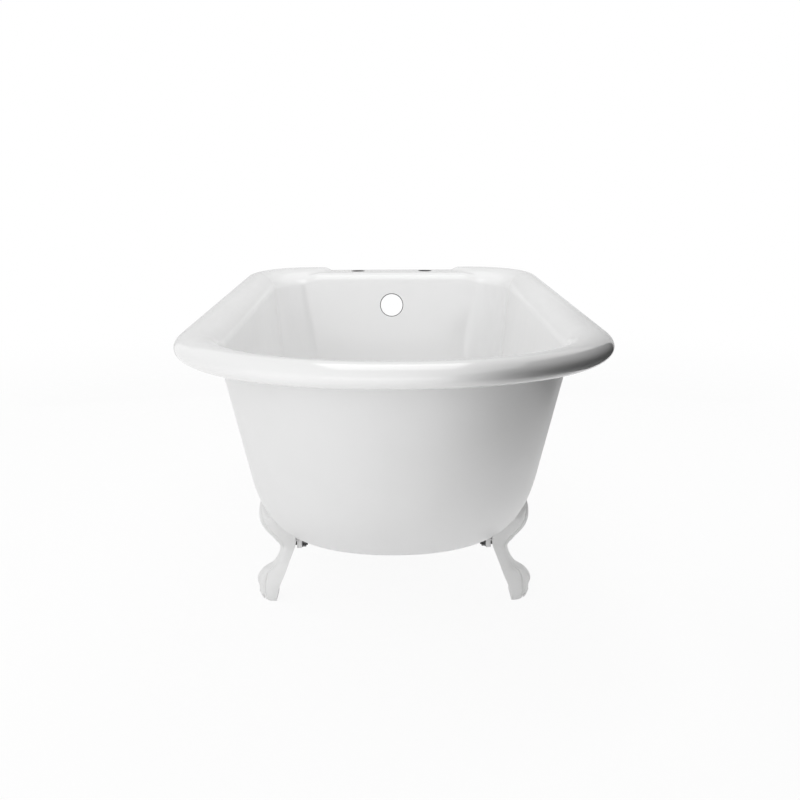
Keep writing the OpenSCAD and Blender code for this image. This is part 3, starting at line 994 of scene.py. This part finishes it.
@dataclass
class ClawFoot:
    """A cast foot: a leaf that backs onto the bath, an ankle, and a paw of four clawed toes."""

    shell: BathShell
    stand: FootFrame
    corner: Corner
    leaf_half: float = 52
    ankle_half: float = 22
    paw_half: float = 33
    toe_crease: float = 6
    side_crease: float = 8.5
    leaf_crease: float = 4.5
    toe_width: float = 0.065
    front_curve: float = 0.7
    pinch_share: float = 0.11
    knuckles: tuple[Point, ...] = ((1.6, 42, 8), (-1.4, 28, 6), (1.0, 17, 6))
    claw_line: tuple[Point, ...] = (
        (20.0, -4.8, 2.8),
        (17.0, -1.6, 4.2),
        (13.5, 0.6, 4.2),
        (10.0, 2.0, 3.7),
        (6.8, 2.6, 2.9),
        (4.0, 2.6, 2.0),
        (2.2, 2.2, 1.0),
    )
    gap: float = 0.4
    leaf_edge: float = 4
    screw_top: float = 46
    stud_grip: float = 17
    toe_line: float = 0.8

    def rows(self) -> list[FootRow]:
        """The foot's guide rows, from the sole up."""
        ankle, leaf, paw = self.ankle_half, self.leaf_half, self.paw_half
        return [
            FootRow(0, 13.5, -10.5, paw * 0.79),
            FootRow(4, 16.5, -10.5, paw * 0.91),
            FootRow(12, 21, -11, paw),
            FootRow(24, 27, -13.5, paw * 1.03),
            FootRow(38, 29, -19, paw),
            FootRow(50, 27, -24.5, paw * 0.91),
            FootRow(62, 17.5, -29.5, ankle * 1.23),
            FootRow(74, -1, -34, ankle * 1.09),
            FootRow(90, -12, -40, ankle),
            FootRow(108, -17.5, -47, ankle * 1.09),
            FootRow(120, -12, -50.5, mix(ankle, leaf, 0.27)),
            FootRow(132, -2.5, -51, mix(ankle, leaf, 0.55)),
            FootRow(146, 8, -51, mix(ankle, leaf, 0.8)),
            FootRow(160, 16.5, -51, leaf * 0.96),
            FootRow(176, 20.5, -51, leaf),
            FootRow(190, 20, -51, leaf * 0.885),
            FootRow(202, 18, -51, leaf * 0.615),
            FootRow(209, 17, -51, leaf * 0.27),
        ]

    def levels(self) -> list[tuple[FootRow, float]]:
        """Close rows from the sole to the top, each with how far it is drawn in all round."""
        steps, ease, fullness = 5, 2.0, 0.7
        rows = self.rows()
        pick = lambda i: rows[min(max(i, 0), len(rows) - 1)]
        made = []
        for i in range(len(rows) - 1):
            spans = list(zip(pick(i - 1), pick(i), pick(i + 1), pick(i + 2)))
            made += [FootRow(*(spline(*span, k / steps) for span in spans)) for k in range(steps)]
        made.append(rows[-1])
        drawn = []
        for row in made:
            near = max(0.0, 1 - min(row.height, rows[-1].height - row.height) / ease)
            drawn.append((row, fullness * ease * (1 - math.sqrt(1 - near**2))))
        return drawn

    def back_at(self, z: float) -> float:
        """How far out from the bath's middle the foot's own back lies at a height."""
        rows = self.rows()
        i = next(k for k in range(len(rows) - 1) if rows[k + 1].height >= z)
        share = (z - rows[i].height) / (rows[i + 1].height - rows[i].height)
        return self.stand.sole_reach + mix(rows[i].back, rows[i + 1].back, share)

    def back_x(self, row: FootRow, y: float) -> float:
        """Where the back lies: its own curve, or the bath's side where that is further out."""
        along = self.stand.along(self.corner) + y
        reach = 3 * self.gap
        sides = (self.shell.outer_half(along + d, row.height) for d in (-reach, reach))
        return max(self.stand.sole_reach + row.back, max(sides) + self.gap)

    def relief(self, u: float, z: float) -> float:
        """How far the front stands proud of its plain shape.

        Args:
            u: the place across, from -1 to 1
            z: the height

        Returns:
            The height of the relief, negative in a crease.
        """
        return self._toes(u, z) + self._leaf(u, z)

    def pinch(self, u: float, z: float) -> float:
        """How far the side is drawn in at the crease, as a share of the half width."""
        low, top = smooth((z - 6) / 10), 1 - smooth((z - 196) / 10)
        ankle = 1 - 0.8 * hump(z, 92, 22)
        return self.pinch_share * low * top * ankle * hump(abs(u), self.toe_line, 0.04)

    def _toes(self, u: float, z: float) -> float:
        """Four rounded toes with knuckles, fading into the ankle and the sole."""
        fade = smooth(z / 14) * (1 - smooth((z - 34) / 34))
        line = self.toe_line
        middle = max(hump(u, 0.0, self.toe_width), 0.8 * hump(abs(u), line / 2, self.toe_width))
        outer = hump(abs(u), line, 0.06)
        swell = sum(size * hump(z, height, width) for size, height, width in self.knuckles)
        plain = 1 - max(middle, outer)
        return fade * (swell * plain - self.toe_crease * middle - self.side_crease * outer)

    def _leaf(self, u: float, z: float) -> float:
        """A rib up the middle, slanting veins beside it, and a bead and a groove round the edge."""
        low = self.shell.belly_height
        rise = z - low
        fade = smooth((rise - 14) / 22) * (1 - smooth((rise - 108) / 8))
        rib_height, bead_height, bead_line, vein_height = 2.4, 3.0, 0.66, 2.4
        vein_spacing, vein_slant, vein_roundness = 19, 1.1, 0.6
        rib = rib_height * hump(u, 0, 0.09)
        groove = self.leaf_crease * hump(abs(u), self.toe_line, 0.05)
        bead = bead_height * hump(abs(u), bead_line, 0.055) - groove
        phase = rise / vein_spacing - vein_slant * abs(u)
        veins = vein_height * (abs(math.sin(math.pi * phase)) ** vein_roundness - 0.6)
        field_share = smooth((abs(u) - 0.12) / 0.12) * (1 - smooth((abs(u) - 0.48) / 0.1))
        return fade * (rib + bead + veins * field_share)

    def section(self, row: FootRow, drawn_in: float) -> list[Point]:
        """The outline of one level, front first and then back."""
        front_steps, back_steps = 72, 18
        half = row.half - drawn_in
        y_foot = self.stand.along(self.corner)
        back = self.back_x(row, 0)
        front = max(self.stand.sole_reach + row.front, back + self.leaf_edge) - drawn_in
        edge = min(self.leaf_edge, 0.4 * (front - back))
        points = []
        for i in range(front_steps + 1):
            a = math.pi * i / front_steps
            u = -math.cos(a)
            base = self.back_x(row, half * u) + edge
            x = base + (front + self.relief(u, row.height) - base) * math.sin(a) ** self.front_curve
            points.append((x, half * u * (1 - self.pinch(u, row.height))))
        inset = drawn_in if row.height < self.shell.belly_height else 0.0
        for i in range(back_steps + 1):
            y = half * (1 - 2 * i / back_steps)
            points.append((self.back_x(row, y) + inset, y))
        side = self.corner.side
        return [(side * x, y_foot + y, row.height) for x, y in points]

    def front_at(self, u: float, z: float) -> tuple[Vector, Vector]:
        """A place on the paw's front and the outward direction there, seen from above."""
        rows = [row for row, _ in self.levels()]
        row = min(rows, key=lambda r: abs(r.height - z))
        a = math.acos(-u)
        y = u * row.half
        base = self.back_x(row, y) + self.leaf_edge
        front = self.stand.sole_reach + row.front + self.relief(u, z)
        x = base + (front - base) * math.sin(a) ** self.front_curve
        palm = self.stand.sole_reach - 12
        outward = Vector((x - palm, y, 0)).normalized()
        return Vector((x, y, z)), outward

    def claws(self) -> Surface:
        """Four blunt curved claws under the toes' tips."""
        around, lean, rise, lowest = 14, 0.75, 0.66, 0.4
        turns = [2 * math.pi * i / around for i in range(around)]
        surface = Surface()
        y_foot, side = self.stand.along(self.corner), self.corner.side
        inner = self.toe_line / 4
        for u in (-3 * inner, -inner, inner, 3 * inner):
            rings = []
            for z, reach, radius in self.claw_line:
                place, outward = self.front_at(u, z)
                across = Vector((-outward.y, outward.x, 0)) * radius
                tip = (outward * lean + Vector((0, 0, rise))) * radius
                middle = place + outward * reach
                ring = [middle + across * math.cos(a) + tip * math.sin(a) for a in turns]
                rings.append([(side * p.x, y_foot + p.y, max(p.z, lowest)) for p in ring])
            surface.add_rings(rings)
        return surface

    def build(self) -> None:
        """Makes the foot with its claws, the bore for its levelling screw and its stud hole."""
        surface = Surface()
        surface.add_rings([self.section(row, drawn_in) for row, drawn_in in self.levels()])
        finishes = [Finishes.FOOT]
        foot = surface.to_object(f"{self.corner.label}_claw_foot", finishes)
        combined(foot, self.claws().to_object("claws", finishes), "UNION")
        combined(foot, self._cutters().to_object("foot_cutters", finishes), "DIFFERENCE")
        finished(foot, crease=40)
        tied(foot, "bath", Finishes.FOOT.slot, f"{self.corner.label}_foot")

    def _cutters(self) -> Surface:
        """The glide's pocket and the screw's bore as one stepped cutter, and the stud's hole."""
        y, side = self.stand.along(self.corner), self.corner.side
        stand, play, ease = self.stand, 0.6, 0.8
        pocket, bore = stand.glide / 2 + play, stand.screw / 2 + THREAD_PLAY
        roof = stand.glide_height + play
        steps = [(pocket + ease, -1.0), (pocket + ease, 0.0), (pocket, ease), (pocket, roof)]
        steps += [(bore, roof), (bore, self.screw_top)]
        surface = Surface()
        surface.add_spun(steps, upright(side * stand.sole_reach, y), 48)
        stud_z, hole = self.shell.stud_z(y), self.shell.stud / 2 + THREAD_PLAY
        seat = self.back_at(stud_z)
        through = [(hole, seat - 10), (hole, seat + self.stud_grip + 1)]
        surface.add_spun(through, crosswise(side, y, stud_z), 32)
        return surface


@dataclass
class Thread:
    """A screw thread cut on a round bar."""

    diameter: float
    pitch: float
    sides: int = 20
    rings_per_turn: int = 6
    depth_share: float = 0.54

    def __post_init__(self) -> None:
        """Works out the depth from the pitch."""
        self.depth = self.depth_share * self.pitch

    def profile(self, start: float, end: float) -> list[tuple[Radius, float]]:
        """The bar's outline with its thread, from start to end, chamfered at both.

        Args:
            start: where the bar starts along its axis
            end: where it ends

        Returns:
            A radius for each direction at places along the axis.
        """
        count = max(2, round((end - start) / self.pitch * self.rings_per_turn))
        made = []
        for i in range(count + 1):
            along = mix(start, end, i / count)
            near = min(along - start, end - along)
            limit = self.diameter / 2 - self.depth + min(near, self.depth)
            made.append((self._radius(along, limit), along))
        return made

    def _radius(self, along: float, limit: float) -> Radius:
        """The thread's radius for each direction at one place along the bar."""

        def radius(angle: float) -> float:
            """Highest at the crest of the thread and lowest at its root."""
            turn = (along / self.pitch - angle / (2 * math.pi)) % 1.0
            slope, root = 1.25, 0.12
            groove = min(1.0, max(0.0, abs(2 * turn - 1) * slope - root))
            return min(self.diameter / 2 - self.depth * (1 - groove), limit)

        return radius


@dataclass
class Fastenings:
    """The stud, washer and nut that hold each foot to its lug."""

    feet: Sequence[ClawFoot]
    shell: BathShell
    pitch: float = 1.25

    def build(self) -> None:
        """Makes the studs, the washers and the nuts."""
        shell = self.shell
        studs, washers, nuts = Surface(), Surface(), Surface()
        thread = Thread(shell.stud, self.pitch)
        for foot in self.feet:
            y = foot.stand.along(foot.corner)
            z = shell.stud_z(y)
            place = crosswise(foot.corner.side, y, z)
            tip = foot.back_at(z) + foot.stud_grip
            studs.add_spun(thread.profile(shell.stud_end, tip), place, thread.sides)
            washers.add_spun(self._washer(shell.lug_back - shell.washer), place, 48, joined=True)
            nuts.add_spun(self._nut(shell.nut_back), place, 72, joined=True)
        kinds = ((studs, "foot_studs"), (washers, "foot_washers"), (nuts, "foot_nuts"))
        for surface, name in kinds:
            dressed(surface, Finishes.BLACK, "bath", name)

    def _washer(self, back: float) -> Profile:
        """A washer's outline with eased edges."""
        outer, ease = self.shell.stud, 0.25
        half = [(outer / 2 + 0.3, 0.0), (outer - ease, 0.0), (outer, ease)]
        return mirrored(half, back, back + self.shell.washer)

    def _nut(self, back: float) -> Profile:
        """A hexagon nut's outline with chamfered corners and a countersunk bore."""
        flats, bore = self.shell.nut_flats, self.shell.stud / 2 + THREAD_PLAY
        corner = flats / 2 / math.cos(math.pi / 6)
        sink, washer_face, chamfer = 0.6, 0.96, 0.6
        half = [
            (bore, sink),
            (bore + sink, 0.0),
            (hexagon(flats, flats / 2 * washer_face), 0.0),
            (hexagon(flats, flats / 2 + 0.1), 0.2),
            (hexagon(flats, corner), (corner - flats / 2) * chamfer),
        ]
        return mirrored(half, back, back + self.shell.nut)


@dataclass
class Leveller:
    """A levelling screw with its nylon glide, which slide out of a paw together."""

    stand: FootFrame
    corner: Corner
    pitch: float = 1.5
    length: float = 40
    sole: float = 1.5
    socket_wall: float = 1.5

    def build(self) -> None:
        """Makes the screw and the glide."""
        stand, label = self.stand, self.corner.label
        place = upright(self.corner.side * stand.sole_reach, stand.along(self.corner))
        head = stand.glide - 2 * self.socket_wall
        flats = head * math.cos(math.pi / 6)
        hexed = hexagon(flats, head / 2 - 0.15)
        outline = [(hexagon(head * 0.8, head / 2 - 0.6), self.sole), (hexed, self.sole + 0.4)]
        outline.append((hexed, stand.glide_height))
        top = stand.glide_height + self.length
        outline += Thread(stand.screw, self.pitch).profile(stand.glide_height, top)[1:]
        screw, glide = Surface(), Surface()
        screw.add_spun(outline, place, 36)
        glide.add_spun(self._glide(hexagon(flats + 0.1, head / 2)), place, 60)
        dressed(screw, Finishes.ZINC, f"{label}_leveller", f"{label}_levelling_screw")
        dressed(glide, Finishes.NYLON, f"{label}_leveller", f"{label}_glide")

    def _glide(self, socket: Radius) -> Profile:
        """The glide's outline: a domed edge under it, a side, and the socket for the head."""
        radius, top = self.stand.glide / 2, self.stand.glide_height
        outline = [(radius - 2.2, 0.0), (radius - 0.9, 0.15), (radius - 0.25, 0.6), (radius, 1.2)]
        outline += [(radius, top - 0.4), (radius - 0.4, top), (socket, top), (socket, self.sole)]
        return outline


@dataclass
class PhotoCamera:
    """The camera of the photograph, placed from the bath's crest and its head end."""

    lens: float = 52.97
    over_rim: float = 303.92
    before_head: float = 1674.3
    pitch: float = 11.931
    yaw: float = -0.265
    roll: float = -0.1885
    shift: float = 0.00864
    sensor: float = 36
    reach: float = 60

    def build(self, shell: BathShell) -> None:
        """Makes the camera and makes it the scene's."""
        data = bpy.data.cameras.new("photo_camera")
        data.sensor_width = self.sensor
        data.lens = self.lens
        data.shift_x = self.shift
        data.clip_end = self.reach
        camera = bpy.data.objects.new("photo_camera", data)
        bpy.context.scene.collection.objects.link(camera)
        turn, tip, roll = (math.radians(a) for a in (self.yaw, self.pitch, self.roll))
        right = Vector((math.cos(turn), math.sin(turn), 0))
        ahead = Vector((-math.sin(turn), math.cos(turn), 0))
        forward = ahead * math.cos(tip) - Vector((0, 0, math.sin(tip)))
        up = ahead * math.sin(tip) + Vector((0, 0, math.cos(tip)))
        rolled_right = right * math.cos(roll) + up * math.sin(roll)
        rolled_up = up * math.cos(roll) - right * math.sin(roll)
        distance = shell.length / 2 + self.before_head
        place = ahead * -distance + Vector((0, 0, shell.rim_height + self.over_rim))
        turned = Matrix((rolled_right, rolled_up, -forward)).transposed().to_4x4()
        camera.matrix_world = Matrix.Translation(place * MM) @ turned
        bpy.context.scene.camera = camera


@dataclass(frozen=True)
class Lamp:
    """A large soft lamp: where it hangs, what it is aimed at, its width and height, its watts."""

    name: str
    place: Point
    target: Point
    size: tuple[float, float]
    power: float


@dataclass
class Studio:
    """A pale floor, a white surround, soft lamps, a dark side screen and a pale card behind."""

    shell: BathShell
    floor_radius: float = 9000
    clear_radius: float = 1500
    fade_radius: float = 4200
    surround: float = 0.76
    floor_glow: float = 0.92
    screen_gap: float = 140
    screen_start: float = 16
    screen_run: float = 250
    screen_low: float = 285
    screen_high: float = 680
    screen_rise: float = 560
    screen_shade: float = 0.08
    backdrop_y: float = 1900
    backdrop_half: float = 1300
    backdrop_high: float = 1500
    backdrop_shade: float = 0.8
    lamps: tuple[Lamp, ...] = (
        Lamp("side_lamp", (-2600, -2600, 1300), (0, -300, 400), (3000, 3000), 8.8),
        Lamp("front_lamp", (-300, -3800, 1100), (0, -300, 400), (3000, 2000), 14.7),
        Lamp("low_lamp", (0, -3600, 450), (0, -300, 300), (2400, 800), 1.5),
        Lamp("basin_lamp", (0, 200, 1800), (0, 100, 200), (700, 1300), 4.5),
    )

    def build(self) -> None:
        """Makes the floor, the surround, the lamps and the two cards."""
        self._floor()
        self._surround()
        for lamp in self.lamps:
            self._lamp(lamp)
        self._screen()
        self._backdrop()

    def _floor(self) -> None:
        """A round floor that fades out into the white surround."""
        surface, segments, rings = Surface(), 96, 8
        turns = [2 * math.pi * i / segments for i in range(segments)]
        radii = [self.floor_radius * k / rings for k in range(1, rings + 1)]
        circles = [[(r * math.cos(a), r * math.sin(a), 0.0) for a in turns] for r in radii]
        surface.add_rings(circles, capped=False)
        surface.add_face(range(segments))
        floor = surface.to_object("studio_floor")
        if floor.data.polygons[0].normal.z < 0:
            floor.data.flip_normals()
        floor.data.materials.append(made_material("studio_white", self._floor_paint))

    @staticmethod
    def _looked_at(shader: Shader) -> Value:
        """1 where the camera, a reflection or clear stuff looks, and 0 for the light that falls."""
        path = shader.add("ShaderNodeLightPath")
        straight, glossy = (path.outputs[f"Is {kind} Ray"] for kind in ("Camera", "Glossy"))
        seen = Value(shader, straight) + Value(shader, glossy)
        return (seen + Value(shader, path.outputs["Is Transmission Ray"])).step(0.0, 1.0)

    def _floor_paint(self, shader: Shader) -> bpy.types.Node:
        """White paint that is clear far off and from below, and glows for whatever looks at it."""
        white = shader.colour(shader.noise(30.0, 3.0), (0.96, 0.96, 0.96), (0.98, 0.98, 0.98))
        paint = shader.add("ShaderNodeBsdfDiffuse", {"Color": white})
        glow = shader.add("ShaderNodeEmission", {"Color": (1.0, 1.0, 1.0, 1.0), "Strength": 1.0})
        clear = shader.add("ShaderNodeBsdfTransparent")
        seen = self._looked_at(shader)
        lights = {0: seen * self.floor_glow, 1: paint.outputs[0], 2: glow.outputs[0]}
        lit = shader.add("ShaderNodeMixShader", lights)
        reach = shader.add("ShaderNodeVectorMath", {0: shader.position()}, operation="LENGTH")
        away = Value(shader, reach.outputs["Value"])
        far = away.step(self.clear_radius * MM, self.fade_radius * MM)
        gone = (far + shader.geometry("Backfacing")).step(0.0, 1.0) * seen
        return shader.add("ShaderNodeMixShader", {0: gone, 1: lit.outputs[0], 2: clear.outputs[0]})

    def _surround(self) -> None:
        """The world: white to the camera and in reflections, and softer as a light."""
        world = bpy.data.worlds.new("white_surround")
        world.use_nodes = True
        shader = Shader(world.node_tree)
        strength = self.surround + (1.0 - self.surround) * self._looked_at(shader)
        sky = shader.add("ShaderNodeBackground", {"Color": (1, 1, 1, 1), "Strength": strength})
        shader.add("ShaderNodeOutputWorld", {"Surface": sky.outputs[0]})
        bpy.context.scene.world = world

    @staticmethod
    def _lamp(lamp: Lamp) -> None:
        """Hangs a lamp that the camera doesn't see."""
        data = bpy.data.lights.new(lamp.name, "AREA")
        data.shape = "RECTANGLE"
        data.size, data.size_y = (s * MM for s in lamp.size)
        data.energy = lamp.power
        hung = bpy.data.objects.new(lamp.name, data)
        aim = Vector(lamp.target) - Vector(lamp.place)
        turned = aim.to_track_quat("-Z", "Y").to_matrix().to_4x4()
        hung.matrix_world = Matrix.Translation(Vector(lamp.place) * MM) @ turned
        hung.visible_camera = False
        bpy.context.scene.collection.objects.link(hung)

    def _screen_line(self) -> list[Plan]:
        """The screen's plan: beside the rim's outline round the right of the head end."""
        steps, last, nudge = 16, 89.0, 0.5
        rim = self.shell.roll_ring(0, 0, 0, 0)
        line = []
        for i in range(steps + 1):
            middle = mix(self.screen_start, last, i / steps)
            turns = [math.radians(middle + shift) for shift in (-nudge, 0.0, nudge)]
            before, here, after = (Vector(self.shell.head_point(rim, turn)) for turn in turns)
            along = (after - before).normalized()
            point = here + Vector((along.y, -along.x)) * self.screen_gap
            line.append((point.x, point.y))
        line.append((line[-1][0], line[-1][1] + self.screen_run))
        return line

    def _screen(self) -> None:
        """A dark screen beside the rim's right end, higher towards its far end."""
        line = self._screen_line()
        tops = [self.screen_high + self.screen_rise * i / (len(line) - 1) for i in range(len(line))]
        self._card("side_screen", line, self.screen_low, tops, self.screen_shade)

    def _backdrop(self) -> None:
        """A pale card behind the tap end, which the rim's flat top mirrors."""
        half, depth, steps = self.backdrop_half, self.backdrop_half / 6, 12
        line = []
        for i in range(steps + 1):
            share = 2 * i / steps - 1
            line.append((half * share, self.backdrop_y - depth * share * share))
        self._card("back_card", line, 0.0, [self.backdrop_high] * len(line), self.backdrop_shade)

    @staticmethod
    def _card(name: str, line: list[Plan], low: float, tops: list[float], shade: float) -> None:
        """Stands a matt card that the camera doesn't see.

        Args:
            name: the card's name
            line: its line on the floor
            low: the height of its lower edge
            tops: the height of its upper edge over each point of the line
            shade: how light its paint is
        """
        count, surface = len(line), Surface()
        surface.points = [(x, y, low) for x, y in line]
        surface.points += [(x, y, top) for (x, y), top in zip(line, tops)]
        for i in range(count - 1):
            surface.add_face((i, i + 1, count + i + 1, count + i))
        card = surface.to_object(name)
        colour = (shade, shade, shade, 1.0)
        paint = made_material(
            name, lambda shader: shader.add("ShaderNodeBsdfDiffuse", {"Color": colour})
        )
        card.data.materials.append(paint)
        card.visible_camera = False


def main() -> None:
    """Builds the bath piece by piece, and then the studio round it."""
    logging.basicConfig(level=logging.INFO, format="%(message)s")
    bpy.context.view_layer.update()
    bpy.context.scene.view_settings.view_transform = "Standard"
    shell = BathShell()
    stand = FootFrame(shell.length)
    PhotoCamera().build(shell)
    shell.build(stand)
    feet = [ClawFoot(shell, stand, corner) for corner in Corner]
    for foot in feet:
        foot.build()
    Fastenings(feet, shell).build()
    for corner in Corner:
        Leveller(stand, corner).build()
    Studio(shell).build()


if __name__ == "__main__":
    main()
